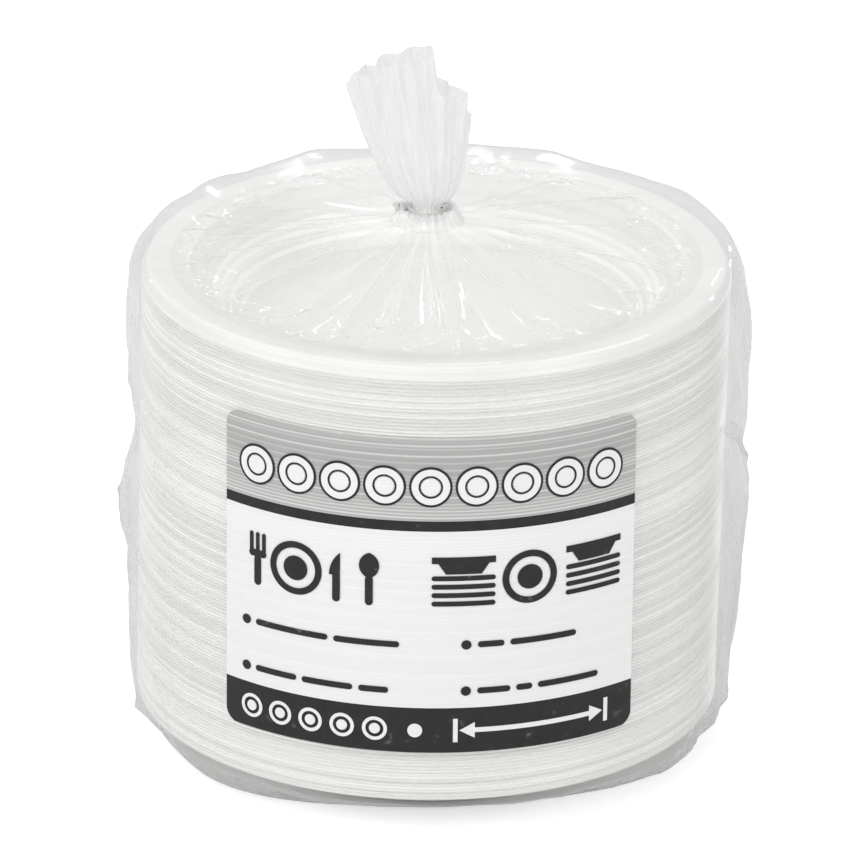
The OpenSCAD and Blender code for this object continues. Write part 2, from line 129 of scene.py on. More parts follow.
def new_group(name, inputs, outputs):
    """An empty node group: inputs are (name, kind, value) rows, outputs (name, kind) rows."""
    tree = bpy.data.node_groups.new(name, "ShaderNodeTree")
    for label, kind, value in inputs:
        socket = tree.interface.new_socket(name=label, in_out="INPUT", socket_type="NodeSocket" + kind)
        socket.default_value = value
    for label, kind in outputs:
        tree.interface.new_socket(name=label, in_out="OUTPUT", socket_type="NodeSocket" + kind)
    return tree, tree.nodes.new("NodeGroupInput").outputs, tree.nodes.new("NodeGroupOutput").inputs


def place_group(tree, group, **inputs):
    """Puts a node group into a material with its own values."""
    return add_node(tree, "ShaderNodeGroup", {"node_tree": group}, **inputs).outputs


print("helpers ready")

# %% [markdown]
# The pack stands on a plain white sweep, and daylight from all round fills its shadows. The
# floor glows a little for the camera, so that it ends in white away from the pack. Behind the film
# it must not glow, because the film would then hide nothing of it: the light path tells how many
# see-through surfaces the camera's ray has passed.

# %% Floor
FLOOR_SIZE = 8
FLOOR_DROP = 0.02 * MM
FLOOR_GLOW = 0.42
floor_mesh = bpy.data.meshes.new("floor")
floor_form = bmesh.new()
bmesh.ops.create_grid(floor_form, x_segments=2, y_segments=2, size=FLOOR_SIZE / 2)
floor_form.to_mesh(floor_mesh)
floor_form.free()
floor = bpy.data.objects.new("floor", floor_mesh)
floor.location.z = -FLOOR_DROP
scene.collection.objects.link(floor)

floor_paint, tree, shader = new_material("floor_paint", Roughness=0.9, Base_Color=(0.9, 0.9, 0.9, 1))
shader.inputs["Specular IOR Level"].default_value = 0
shader.inputs["Emission Color"].default_value = (1, 1, 1, 1)
rays = add_node(tree, "ShaderNodeLightPath").outputs
plain_view = maths(tree, "LESS_THAN", rays["Transparent Depth"], 0.5)
plain_view = maths(tree, "MULTIPLY", plain_view, rays["Is Camera Ray"])
tree.links.new(maths(tree, "MULTIPLY", plain_view, FLOOR_GLOW), shader.inputs["Emission Strength"])
floor_mesh.materials.append(floor_paint)
print("floor:", FLOOR_SIZE, "m")

# %% Daylight
world = bpy.data.worlds.new("daylight")
scene.world = world
world.use_nodes = True
DAYLIGHT = 0.56
rays = add_node(world.node_tree, "ShaderNodeLightPath").outputs
shown = maths(world.node_tree, "MAXIMUM", rays["Is Camera Ray"], rays["Is Transmission Ray"])
shown = maths(world.node_tree, "MAXIMUM", shown, rays["Is Glossy Ray"])
strength = maths(world.node_tree, "MULTIPLY_ADD", shown, 1 - DAYLIGHT, DAYLIGHT)
sky = world.node_tree.nodes["Background"]
sky.inputs["Color"].default_value = (1, 1, 1, 1)
world.node_tree.links.new(strength, sky.inputs["Strength"])
scene.view_settings.view_transform = "Standard"
print("daylight:", DAYLIGHT)

# %% [markdown]
# Three large soft panels light the pack: one from near the camera and one from each side, so that
# the stack keeps the same pale grey all the way round to its edges. Film only
# looks like film when something small and bright is mirrored in its folds. So a few small boxes
# stand behind and above the pack, where the folds of the cone mirror them as crisp white glints.

# %% Lamps
def soft_panel(name, place, size, watts):
    """A rectangular lamp of size (width, height) in metres that faces the pack."""
    lamp = bpy.data.lights.new(name, "AREA")
    lamp.shape = "RECTANGLE"
    lamp.size, lamp.size_y = size
    lamp.energy = watts
    panel = bpy.data.objects.new(name, lamp)
    panel.location = place
    panel.rotation_mode = "QUATERNION"
    panel.rotation_quaternion = (TARGET - Vector(place)).to_track_quat("-Z", "Y")
    scene.collection.objects.link(panel)
    return panel


soft_panel("main_panel", (-0.8, -2.0, 1.7), (1.4, 1.4), 13)
soft_panel("right_panel", (1.6, -1.4, 1.2), (1.0, 1.0), 16)
soft_panel("left_panel", (-1.8, -1.0, 1.0), (1.0, 1.0), 11)
soft_panel("back_box_left", (-0.9, 1.7, 1.3), (0.22, 0.22), 3.5)
soft_panel("back_box_right", (0.8, 1.9, 0.9), (0.2, 0.2), 2.5)
soft_panel("back_box_middle", (0.0, 2.1, 1.9), (0.3, 0.15), 3.5)
soft_panel("side_strip", (-1.9, -0.3, 0.9), (0.1, 0.9), 2.5)

# %% [markdown]
# A hundred and twenty-five plates nest in each other, and only their turned-down lips show, one
# thin line for each. No two lines look the same: each plate sits a little differently, so the shade
# between the lips differs. One shader group counts the plates by their height and gives each its
# own number, which the plates and the inks over them share as painted shade that darkens each lip.

# %% Group that tells the plates apart
PITCH = 1.085 * MM
PLATE_H = 19 * MM
LIP_H = 3.8 * MM
stack_low, stack_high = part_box("plates_01")[0].z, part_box("plates_25")[1].z
FIRST_LIP = stack_low + PLATE_H - LIP_H

plate_lines_and_shade, given, result = new_group(
    "plate_lines_and_shade",
    [("First", "Float", FIRST_LIP), ("Pitch", "Float", PITCH), ("Unevenness", "Float", 1.0)],
    [("Each", "Float"), ("Line", "Float")],
)
place = add_node(plate_lines_and_shade, "ShaderNodeTexCoord").outputs["Object"]
height = add_node(plate_lines_and_shade, "ShaderNodeSeparateXYZ", Vector=place).outputs["Z"]
drift = add_node(plate_lines_and_shade, "ShaderNodeTexNoise", Vector=place, Scale=9.0, Detail=1.0).outputs[0]
drift = maths(plate_lines_and_shade, "SUBTRACT", drift, 0.5)
drift = maths(plate_lines_and_shade, "MULTIPLY", drift, given["Unevenness"])
count = maths(plate_lines_and_shade, "SUBTRACT", height, given["First"])
count = maths(plate_lines_and_shade, "DIVIDE", count, given["Pitch"])
whole = maths(plate_lines_and_shade, "FLOOR", count)
# Each plate's own random number, used as painted shade that darkens its lip.
each = add_node(plate_lines_and_shade, "ShaderNodeTexWhiteNoise", {"noise_dimensions": "1D"}, W=whole).outputs["Value"]
plate_lines_and_shade.links.new(each, result["Each"])
# A value that rises and falls once for each plate: painted light lines of the lips, with painted shade
# between them.
within = maths(plate_lines_and_shade, "FRACT", maths(plate_lines_and_shade, "ADD", count, drift))
line = maths(plate_lines_and_shade, "PINGPONG", within, 0.5)
plate_lines_and_shade.links.new(maths(plate_lines_and_shade, "MULTIPLY", line, 2.0), result["Line"])
print("lips start at", round(FIRST_LIP / MM, 2), "mm, pitch", round(PITCH / MM, 3), "mm")

# %% [markdown]
# Thin marks, dust and rubbed spots break up every large plain surface. They are one group too: a
# noise whose peaks alone are kept.

# %% Group for specks and rubbed spots
specks, given, result = new_group(
    "specks", [("Scale", "Float", 200.0), ("Cut", "Float", 0.7)], [("Mask", "Float"), ("Cloud", "Float")]
)
place = add_node(specks, "ShaderNodeTexCoord").outputs["Object"]
cloud = add_node(specks, "ShaderNodeTexNoise", Vector=place, Scale=given["Scale"], Detail=4.0).outputs[0]
above = maths(specks, "SUBTRACT", cloud, given["Cut"])
mask = maths(specks, "MULTIPLY", above, 12.0)
specks.links.new(add_node(specks, "ShaderNodeClamp", Value=mask).outputs[0], result["Mask"])
specks.links.new(cloud, result["Cloud"])
print("groups:", [g.name for g in bpy.data.node_groups])

# %% [markdown]
# The plates are white polystyrene, satin rather than glossy, and very slightly warm. Each plate's
# white is darkened by a random amount, as painted shade for the uneven shade between the lips.

# %% Plate plastic
def tinted(tree, colour, factor):
    """A colour made lighter or darker by a factor that changes over the surface."""
    inputs = {"n6": (*colour, 1), "n7": factor, "n0": 1.0}
    multiplied = {"data_type": "RGBA", "blend_type": "MULTIPLY"}
    return add_node(tree, "ShaderNodeMix", multiplied, **inputs).outputs[2]


PLATE_WHITE = (0.95, 0.945, 0.925)
DARKEST_PLATE_SHADE = 0.82
PLATE_SHADE_SPREAD = 0.2
plate_plastic, tree, shader = new_material("plate_plastic", Roughness=0.36)
lines = place_group(tree, plate_lines_and_shade)
# Painted shade: each plate's lip is darkened by a random amount.
shade = maths(tree, "MULTIPLY_ADD", lines["Each"], PLATE_SHADE_SPREAD, DARKEST_PLATE_SHADE)
tree.links.new(tinted(tree, PLATE_WHITE, shade), shader.inputs["Base Color"])
marks = place_group(tree, specks, Scale=60.0, Cut=0.62)
tree.links.new(maths(tree, "MULTIPLY_ADD", marks["Cloud"], 0.2, 0.26), shader.inputs["Roughness"])

plate_names = sorted(name for name in nodes if name.startswith("plates_"))
for name in plate_names:
    nodes[name].data.materials.clear()
    nodes[name].data.materials.append(plate_plastic)
print("plate groups:", len(plate_names))

# %% [markdown]
# Now the film. It could be draped by a simulation from a flat tube, but eight hundred square
# centimetres of film gathered to a neck as thick as a finger needs far more points than a
# simulation can move in time, and the creases could not be placed. So a tube is spun from a line
# of points, one ring for each height, and every ring is then moved by a rule: where it lies on
# the pack, how far the film stands off there, and which pleats and creases run through it.

# %% Spin the tube of film
AROUND = 432
STAGES = [
    ("floor", 6), ("foot", 18), ("side", 76), ("shoulder", 10),
    ("cone", 64), ("collar", 9), ("neck", 4), ("tail", 46),
]
film_form = bmesh.new()
row_total = sum(rows for _, rows in STAGES)
line_points = [film_form.verts.new((1, 0, row)) for row in range(row_total + 1)]
line_edges = [film_form.edges.new(pair) for pair in zip(line_points, line_points[1:])]
bmesh.ops.spin(
    film_form, geom=line_points + line_edges, cent=(0, 0, 0), axis=(0, 0, 1),
    angle=2 * math.pi, steps=AROUND, use_merge=True, use_duplicate=False,
)
film_form.verts.ensure_lookup_table()
tube = np.array([v.co for v in film_form.verts])
turn = np.degrees(np.arctan2(tube[:, 1], tube[:, 0]))
row = np.rint(tube[:, 2])
print("film points:", len(tube), "faces:", len(film_form.faces))

# %% Where each ring lies
def stage_shares():
    """For each stage, which points belong to it and how far up the stage they are, 0 to 1."""
    found, first = {}, 0
    for name, rows in STAGES:
        inside = (row > first) & (row <= first + rows) | ((row == 0) & (first == 0))
        found[name] = (np.nonzero(inside)[0], (row[inside] - first) / rows)
        first += rows
    return found


stages = stage_shares()
print({name: len(points) for name, (points, _) in stages.items()})

# %% [markdown]
# Small rules are shared by all stages: a soft step, a smooth curve through a short table, and
# the signed angle between two directions.

# %% Rules that all stages share
def soft_step(value, low, high):
    share = np.clip((value - low) / (high - low), 0, 1)
    return share * share * (3 - 2 * share)


def smooth_table(at, rows, column, blur=3.0):
    """Reads a table of rows (place, value, ...) at many places, with its corners rounded."""
    fine = np.linspace(-20, 120, 561)
    values = np.interp(fine, [r[0] for r in rows], [r[column] for r in rows])
    reach = int(round(30 * blur / 3))
    weights = np.exp(-0.5 * (np.arange(-reach, reach + 1) / (reach / 3)) ** 2)
    padded = np.pad(values, reach, mode="edge")
    return np.interp(at, fine, np.convolve(padded, weights / weights.sum(), mode="valid"))


def between(angle_a, angle_b):
    """The angle from b to a in degrees, from -180 to 180."""
    return (angle_a - angle_b + 180) % 360 - 180


def saw(phase):
    """A line that folds up and down between -1 and 1, once for each whole step of its phase."""
    return 4 * np.abs(phase - np.floor(phase) - 0.5) - 1


off_front = between(turn, -90)
lean_side = np.cos(np.radians(turn))
out = np.stack([np.cos(np.radians(turn)), np.sin(np.radians(turn)), np.zeros(len(turn))], axis=1)
print("front points:", int((abs(off_front) < 45).sum()))

# %% [markdown]
# Every pleat and crease is a ridge: a line from one place to another, with a height and a width.
# Near its line the film is lifted in a sharp crest that falls away quickly, as in a fold of film.
# A list of ridges becomes one field of heights.

# %% Ridges
def ridge_field(across, along, radius, ridges, sharp=1.2):
    """Height over points given by angle across (degrees) and place along, from ridge rows
    (angle, along) to (angle, along), height, width. Width is in millimetres across the ridge."""
    total = np.zeros(len(across))
    for (angle_0, along_0), (angle_1, along_1), lift, width in ridges:
        share = (along - along_0) / (along_1 - along_0)
        near = np.nonzero((share > -0.15) & (share < 1.15))[0]
        s = share[near]
        centre = angle_0 + between(angle_1, angle_0) * s
        away = np.abs(np.radians(between(across[near], centre))) * radius[near]
        ends = soft_step(s, -0.15, 0.2) * (1 - soft_step(s, 0.75, 1.15))
        total[near] += lift * ends * np.exp(-((away / width) ** sharp))
    return total


print("ridges ready")

# %% [markdown]
# The film's sizes are those of the measured bag. Its side is tight over the front, where the
# panel is printed, and stands off the stack to the left and right by an amount that changes with
# the height: the table gives that reach in millimetres.

# %% Sizes of the bag
PLATE_R = 88.9
CLEAR_OF_PLATES = 0.25
CLEAR_OF_RIM = 0.35
LEAN = 1.9
MIDDLE_X = -LEAN / 2
FRONT_R = 90.2
FOOT_X, FOOT_Y, FOOT_RISE, FOOT_POWER = 78, 60, 14, 2.8
FOOT_MIDDLE_X = 0.6
# The underside is a little shorter from front to back on its right than on its left
FOOT_SKEW = 0.1
# How far out of a straight slope the film bulges between the foot and the side
FOOT_BULGE = 0.3
UNDERSIDE_Z = 0.1
RIM_Z = stack_high / MM
LIP_Z = RIM_Z - LIP_H / MM
NECK_Z = RIM_Z + 16
NECK = np.array([-3.0, 0.0, 0.0])
NECK_R, NECK_H = 4.3, 4
TIGHT_HALF, LOOSE_HALF = 45, 63
BACK_SHARE = 0.6
# Per cent of the way up the side, then the film's reach on the left and on the right
FILM_REACH = [
    (0, 0.4, 3.2), (10, 2.2, 5.0), (24, 2.9, 6.1), (35, 3.5, 6.9), (41, 5.0, 7.0), (47, 6.4, 8.1),
    (53, 3.7, 6.9), (60, 1.2, 4.9), (68, 0.9, 5.6), (80, 3.6, 6.9), (100, 3.9, 3.6),
]
print("rim at", round(RIM_Z, 1), "mm, neck at", round(NECK_Z, 1), "mm")

# %% Where the side of the film stands
def side_base(points, per_cent):
    """Centre and radius of the film's side, before its creases."""
    side = lean_side[points]
    reach = smooth_table(per_cent, FILM_REACH, 1, blur=2.0) * (1 - side) / 2
    reach += smooth_table(per_cent, FILM_REACH, 2, blur=2.0) * (1 + side) / 2
    reach *= 1 - (1 - BACK_SHARE) * np.clip(np.sin(np.radians(turn[points])), 0, 1)
    loose = soft_step(np.abs(off_front[points]), TIGHT_HALF, LOOSE_HALF)
    centre_x = MIDDLE_X * (1 - loose) - LEAN * (1 - per_cent / 100) * loose
    return centre_x, FRONT_R * (1 - loose) + (PLATE_R + reach) * loose, loose


print("reach on the left at the bulge:", round(float(smooth_table(45, FILM_REACH, 1)), 1), "mm")

# %% [markdown]
# The creases that show in the photograph are listed one by one: a diagonal one on each side where
# the film is pulled in, and the folds round the bulge below it. The angle is counted from the
# front, negative on the left, and the place is the height in millimetres. Many smaller creases
# follow a seeded random rule, away from the tight front.

# %% Creases on the side
SIDE_CREASES = [
    ((-52, 123), (-76, 100), -1.7, 2.2), ((-56, 127), (-80, 104), 0.9, 1.8),
    ((-92, 76), (-52, 100), 1.3, 2.0),
    ((-92, 75), (-62, 73), -1.6, 2.2), ((-88, 82), (-66, 60), -1.2, 2.4), ((-95, 118), (-78, 92), 0.9, 2.4),
    ((-70, 140), (-84, 112), 0.7, 2.2), ((48, 135), (64, 117), -1.8, 2.2), ((64, 117), (86, 96), -1.7, 2.4),
    ((53, 133), (72, 112), 1.0, 1.8), ((80, 99), (98, 84), 1.2, 2.6), ((70, 96), (58, 78), -0.9, 2.2),
    ((88, 76), (70, 30), 0.9, 2.4), ((64, 40), (58, 16), 1.1, 2.4), ((-66, 40), (-56, 12), 1.1, 2.4),
    ((76, 60), (69, 14), -1.0, 2.4),
]
FOOT_CREASES = [
    ((24, 0.5), (47, 13), 1.5, 1.8), ((44, 0.5), (33, 10), -1.3, 2.0), ((30, 0), (56, 7), 1.1, 1.6),
    ((-40, 0.5), (-56, 13), 1.5, 2.0), ((-28, 1), (-50, 9), -1.2, 2.2), ((57, 0), (64, 17), 1.4, 2.2),
    ((-62, 1), (-68, 16), -1.1, 2.2), ((78, 0), (70, 18), 1.2, 2.4), ((-80, 0), (-74, 20), 1.1, 2.4),
]
SMALL_CREASES = 150
random_side = np.random.default_rng(11)


def small_creases(count):
    rows = []
    for _ in range(count):
        angle = random_side.uniform(TIGHT_HALF + 8, 360 - TIGHT_HALF - 8)
        low = random_side.uniform(6, 138)
        slope = random_side.uniform(-0.55, 0.55)
        length = random_side.uniform(8, 40)
        lift = random_side.uniform(0.15, 0.7) * random_side.choice([-1, 1])
        width = random_side.uniform(1.2, 3.2)
        rows.append(((angle, low), (angle + slope * length, low + length), lift, width))
    return rows


side_creases = SIDE_CREASES + FOOT_CREASES + small_creases(SMALL_CREASES)
print("creases:", len(side_creases))

# %% Flat facets
# Folds round the bag, folds for each millimetre upwards, start, height in millimetres
SIDE_FACETS = [(11, 0.012, 0.1, 0.55), (17, -0.019, 0.4, 0.4), (7, 0.031, 0.7, 0.35), (26, 0.009, 0.2, 0.22)]
SHOULDER_FACETS = [(9, 0.0, 0.2, 0.9), (14, 0.0, 0.55, 0.6), (23, 0.0, 0.8, 0.3)]


def facet_field(angle, along, families):
    """Film that is folded lightly along a few families of straight lines lies in flat facets."""
    total = np.zeros(len(angle))
    for count, climb, start, lift in families:
        bent = 0.16 * np.sin(np.radians(3 * angle) + along / 19)
        bent += 0.11 * np.sin(np.radians(5 * angle) - along / 31)
        total += lift * saw(count * angle / 360 + climb * along + start + bent)
    return total


print("families of folds:", len(SIDE_FACETS), "on the side,", len(SHOULDER_FACETS), "on the shoulder")

# %% Lay the film round the foot and the side
FLOOR_SHARE = 0.985
FOOT_FACETS = 1.4
film = np.zeros((len(tube), 3))


def lay_floor_and_foot():
    for name in ("floor", "foot"):
        points, share = stages[name]
        c, s = np.cos(np.radians(turn[points])), np.sin(np.radians(turn[points]))
        half_y = FOOT_Y * (1 - FOOT_SKEW * c)
        square = (np.abs(c / FOOT_X) ** FOOT_POWER + np.abs(s / half_y) ** FOOT_POWER) ** (-1 / FOOT_POWER)
        if name == "floor":
            inside = square * share * FLOOR_SHARE
            film[points] = out[points] * inside[:, None] + [FOOT_MIDDLE_X, 0, UNDERSIDE_Z]
            continue
        centre_x, radius, loose = side_base(points, 0 * share)
        up_share = (1 - FOOT_BULGE) * share + FOOT_BULGE * np.sin(share * math.pi / 2)
        foot_place = out[points] * square[:, None] + [FOOT_MIDDLE_X, 0, 0]
        side_place = out[points] * radius[:, None]
        side_place[:, 0] += centre_x
        film[points] = foot_place * (1 - up_share)[:, None] + side_place * up_share[:, None]
        film[points, 2] = UNDERSIDE_Z + (FOOT_RISE - UNDERSIDE_Z) * share
        lift = ridge_field(off_front[points], film[points, 2], radius, side_creases)
        lift += FOOT_FACETS * facet_field(turn[points], film[points, 2], SIDE_FACETS)
        film[points] += out[points] * (lift * soft_step(share, 0.02, 0.3) * (1 - 0.7 * share))[:, None]
        film[points] += out[points] * (lift * loose * 0.7 * share)[:, None]


def lay_side():
    points, share = stages["side"]
    centre_x, radius, loose = side_base(points, 100 * share)
    height = FOOT_RISE + (LIP_Z - FOOT_RISE) * share
    lift = ridge_field(off_front[points], height, radius, side_creases)
    lift += facet_field(turn[points], height, SIDE_FACETS)
    creased = np.maximum(radius + lift * loose, PLATE_R + CLEAR_OF_PLATES)
    radius = np.where(loose > 0, creased, radius)
    film[points] = out[points] * radius[:, None]
    film[points, 0] += centre_x
    film[points, 2] = height


lay_floor_and_foot()
lay_side()
print("side laid, widest:", round(float(np.ptp(film[:, 0])), 1), "mm")

# %% [markdown]
# Above the lip the film turns over the rim, lies flat on it for some fifteen millimetres, and
# then rises to the neck as a shallow cone. All the slack of the wide bag has to go somewhere on
# the way, so the cone is full of pleats that start at the neck. The long ones that show in the
# photograph are named by their direction, and the others are random. Where the pleats end near
# the rim the film is crumpled into short crossing folds. Round the tie the film swells into a
# small collar before it is squeezed through.

# %% Pleats of the cone
POINTS_ROUND = 80
# Point round the bag that a pleat runs along, its height as a share of the highest, and where it ends
LONG_PLEATS = [
    (0, 0.8, 0.15), (2, 1, 0.1), (5, 0.9, 0.2), (9, 1, 0.1), (13, 0.8, 0.2), (17, 0.9, 0.12), (23, 0.8, 0.18),
    (28, 1, 0.12), (32, 0.8, 0.2), (41, 0.7, 0.2), (48, 0.9, 0.12), (54, 0.8, 0.18), (57, 1, 0.1),
    (59, 0.8, 0.15), (62, 1, 0.1), (67, 0.9, 0.15), (72, 0.8, 0.2), (75, 1, 0.1), (78, 0.9, 0.12),
]
PLEAT_H = 2.4
random_cone = np.random.default_rng(23)


def cone_ridges():
    rows = []
    for point, height, end in LONG_PLEATS:
        angle = point * 360 / POINTS_ROUND - 90
        bend = random_cone.uniform(-3, 3)
        rows.append(((angle + bend, end), (angle, 0.97), PLEAT_H * height, random_cone.uniform(1.3, 2.0)))
    for _ in range(90):
        angle = random_cone.uniform(0, 360)
        end = random_cone.uniform(0.12, 0.6)
        bend = random_cone.uniform(-8, 8)
        lift = random_cone.uniform(0.2, 1.1) * random_cone.choice([-0.6, 1])
        rows.append(((angle + bend, end), (angle, 0.98), lift, random_cone.uniform(0.7, 1.6)))
    for _ in range(300):
        angle = random_cone.uniform(0, 360)
        start = random_cone.uniform(0.07, 0.22)
        length = random_cone.uniform(0.02, 0.12)
        bend = random_cone.uniform(-9, 9)
        lift = random_cone.uniform(0.4, 1.5) * random_cone.choice([-0.7, 1])
        rows.append(((angle, start), (angle + bend, start + length), lift, random_cone.uniform(0.7, 1.5)))
    return rows


cone_rows = cone_ridges()
pleat_angles = np.array([point * 360 / POINTS_ROUND for point, _, _ in LONG_PLEATS])
valley_angles = (pleat_angles + np.append(pleat_angles[1:], 360)) / 2
valley_depths = random_cone.uniform(-1, -0.4, len(valley_angles))


def between_pleats(angle):
    """1 on each long pleat, falling in a straight line to the valley on each side of it."""
    places = np.stack([pleat_angles, valley_angles], axis=1).ravel()
    values = np.stack([np.ones(len(pleat_angles)), valley_depths], axis=1).ravel()
    return np.interp((angle + 90) % 360, np.append(places, 360), np.append(values, 1))


print("ridges on the cone:", len(cone_rows))

# %% [markdown]
# At the neck the film is squeezed into folds side by side, and the same folds run on into the
# tail, where they open like a paper fan. One zigzag of uneven teeth round the neck serves both.

# %% Zigzag of folds
FOLD_COUNT = 46
FOLD_DEPTH = 0.07
TAIL_FOLD_COUNT = 26
TAIL_FOLD_DEPTH = 0.2


def zigzag(count, seed):
    """Uneven teeth round the neck: returns a rule that gives -1 to 1 at any angle in degrees."""
    draw = np.random.default_rng(seed)
    corners = (np.arange(count) + draw.uniform(-0.36, 0.36, count)) * 360 / count
    heights = np.where(np.arange(count) % 2 == 0, 1, -1) * draw.uniform(0.45, 1, count)
    places = np.concatenate([corners - 360, corners, corners + 360])
    values = np.tile(heights, 3)
    return lambda angle: np.interp(angle % 360, places, values)


main_folds = zigzag(FOLD_COUNT, 31)
tail_folds = zigzag(TAIL_FOLD_COUNT, 53)
fine_folds = zigzag(2 * FOLD_COUNT, 47)
print("fold at the front:", round(float(main_folds(-90.0)), 2))

# %% Lay the shoulder and the cone
SHOULDER_IN = 6.0
SHOULDER_H = RIM_Z + CLEAR_OF_RIM - LIP_Z
RIM_END = 0.13
RIM_DROP = 0.9
BACK_RISE, RIGHT_RISE = 2.9, 0.6
RISE_START, RISE_END = 45, 105
LOOSE_PUFF = 0.6
# Share of the cone's height that it gains only close to the neck, and how sharply
STEEP_SHARE, STEEP_POWER = 0.22, 7
STEEP_ANGLE = math.radians(60)
VALLEY_H = 0.9
CONE_END = 0.92
# Share of the way through the collar, then radius and height above the middle of the neck
COLLAR = [(0, 10.7, -4.6), (0.3, 9.5, -2.6), (0.5, 8.6, 0.3), (0.62, 7.7, 0.9), (0.75, 6.9, -0.4),
          (0.88, 6.5, -2.4), (1, 4.5, -2.5)]


def back_lift(points):
    """The film stands higher over the rim at the back than at the front, and most on the right."""
    share = soft_step(np.abs(off_front[points]), RISE_START, RISE_END)
    return (BACK_RISE + RIGHT_RISE * lean_side[points]) * share


def lay_shoulder():
    points, share = stages["shoulder"]
    centre_x, radius, loose = side_base(points, 100 + 0 * share)
    swing = share * math.pi / 2
    radius = radius - SHOULDER_IN * (1 - np.cos(swing))
    facets = facet_field(turn[points], 0 * share, SHOULDER_FACETS) * loose
    film[points] = out[points] * (radius + LOOSE_PUFF * facets * np.sin(swing))[:, None]
    film[points, 0] += centre_x
    height = SHOULDER_H + back_lift(points) + LOOSE_PUFF * (loose + facets)
    film[points, 2] = LIP_Z + height * np.sin(swing)


def cone_height(share):
    """Height of the film over the rim and up to the neck."""
    rise = np.clip((share - RIM_END) / (1 - RIM_END), 0, 1)
    rim = RIM_Z + CLEAR_OF_RIM - RIM_DROP * np.clip(share / RIM_END, 0, 1)
    to_neck = NECK_Z - NECK_H / 2 - RIM_Z + RIM_DROP - CLEAR_OF_RIM
    return rim + to_neck * ((1 - STEEP_SHARE) * rise + STEEP_SHARE * rise ** STEEP_POWER)


def cone_place(points, share):
    centre_x, radius, loose = side_base(points, 100 + 0 * share)
    angle = turn[points]
    start = out[points] * (radius - SHOULDER_IN)[:, None]
    start[:, 0] += centre_x
    facets = facet_field(angle, 0 * share, SHOULDER_FACETS) * loose * (1 - soft_step(share, 0.02, 0.25))
    place = start * (1 - share)[:, None] + (NECK + out[points] * NECK_R) * share[:, None]
    place += out[points] * (LOOSE_PUFF * facets)[:, None]
    lift = ridge_field(angle, share, radius * (1 - share) + NECK_R * share, cone_rows, sharp=1.1)
    near_rim = soft_step(share, RIM_END * 0.5, RIM_END * 1.4)
    lift = lift * near_rim * (1 - 0.6 * soft_step(share, 0.75, 1.0))
    valleys = between_pleats(angle) * soft_step(share, RIM_END, 0.35)
    lift += VALLEY_H * valleys * (1 - 0.6 * soft_step(share, 0.7, 1.0))
    lift += 0.5 * main_folds(angle) * soft_step(share, 0.5, 0.9)
    lift += LOOSE_PUFF * (loose * (1 - near_rim) + facets)
    lift += back_lift(points) * (1 - share) ** 2
    steep = soft_step(share, 0.7, 1.0) * STEEP_ANGLE
    place += out[points] * (lift * np.sin(steep))[:, None]
    place[:, 2] = cone_height(share) + lift * np.cos(steep)
    return place


def lay_cone():
    points, share = stages["cone"]
    film[points] = cone_place(points, share * CONE_END)


def lay_collar():
    points, share = stages["collar"]
    folds = main_folds(turn[points])
    low = cone_place(points, CONE_END + 0 * share)
    shares, radii, heights = zip(*COLLAR)
    puffed = np.sin(share * math.pi)
    radius = np.interp(share, shares, radii) * (1 + FOLD_DEPTH * folds * puffed)
    high = NECK + out[points] * radius[:, None]
    high[:, 2] = NECK_Z + np.interp(share, shares, heights) + 0.7 * folds * puffed
    joined = soft_step(share, 0, 0.4)[:, None]
    film[points] = low * (1 - joined) + high * joined


def lay_neck():
    points, share = stages["neck"]
    folds = main_folds(turn[points])
    film[points] = NECK + out[points] * (NECK_R * (1 + FOLD_DEPTH * folds))[:, None]
    film[points, 2] = NECK_Z - NECK_H / 2 + NECK_H * share


lay_shoulder()
lay_cone()
lay_collar()
lay_neck()
print("cone laid, top of its neck:", round(float(film[stages["neck"][0], 2].max()), 1), "mm")

# %% [markdown]
# The tail is the mouth of the bag, cut straight across and now squeezed together. It stands up
# as a fan of folds in three lobes of different height, flat from front to back, and leans to the
# left. Its cut edge is read from a table of heights, from the left edge to the right.

# %% Lay the tail
TAIL_Z = NECK_Z + NECK_H / 2
TAIL_HALF_W, TAIL_HALF_D, TAIL_LEFT = 18.5, 6.5, 6.0
FINE_FOLD_DEPTH = 0.03
FOLDS_SIDEWAYS, FOLDS_FRONT_BACK = 0.25, 1.9
# Per cent from the left edge of the tail to the right one, then the height of the cut edge
CUT_EDGE = [
    (0, 207.5), (5, 212.5), (12, 213.6), (22, 213.8), (25, 216.0), (38, 217.6), (66, 220.2), (70, 219.6),
    (73, 209.5), (78, 208.6), (92, 206.4), (97, 205.0), (100, 200.0),
]


def lay_tail():
    points, share = stages["tail"]
    angle = turn[points] + 4 * share * np.sin(np.radians(3 * turn[points] + 50))
    side = np.cos(np.radians(turn[points]))
    depth = np.sin(np.radians(turn[points]))
    opened = 1 - (1 - share) ** 2
    folds = main_folds(angle) * (1 - opened) + tail_folds(angle) * opened
    folds = (FOLD_DEPTH * (1 - share) + TAIL_FOLD_DEPTH * share ** 0.7) * folds
    folds += FINE_FOLD_DEPTH * share * fine_folds(angle + 5 * share)
    half_w = (NECK_R + (TAIL_HALF_W - NECK_R) * share ** 0.45) * (1 + FOLDS_SIDEWAYS * folds)
    half_d = (NECK_R + (TAIL_HALF_D - NECK_R) * share) * (1 + FOLDS_FRONT_BACK * folds)
    top = smooth_table(50 + 50 * side, CUT_EDGE, 1, blur=0.3)
    film[points, 0] = NECK[0] - TAIL_LEFT * share ** 0.8 + half_w * side
    film[points, 1] = half_d * depth + 1.2 * share * np.sin(np.radians(2 * turn[points] + 30))
    film[points, 2] = TAIL_Z + (top - TAIL_Z) * share


lay_tail()
print("tail laid, top:", round(float(film[:, 2].max()), 1), "mm")
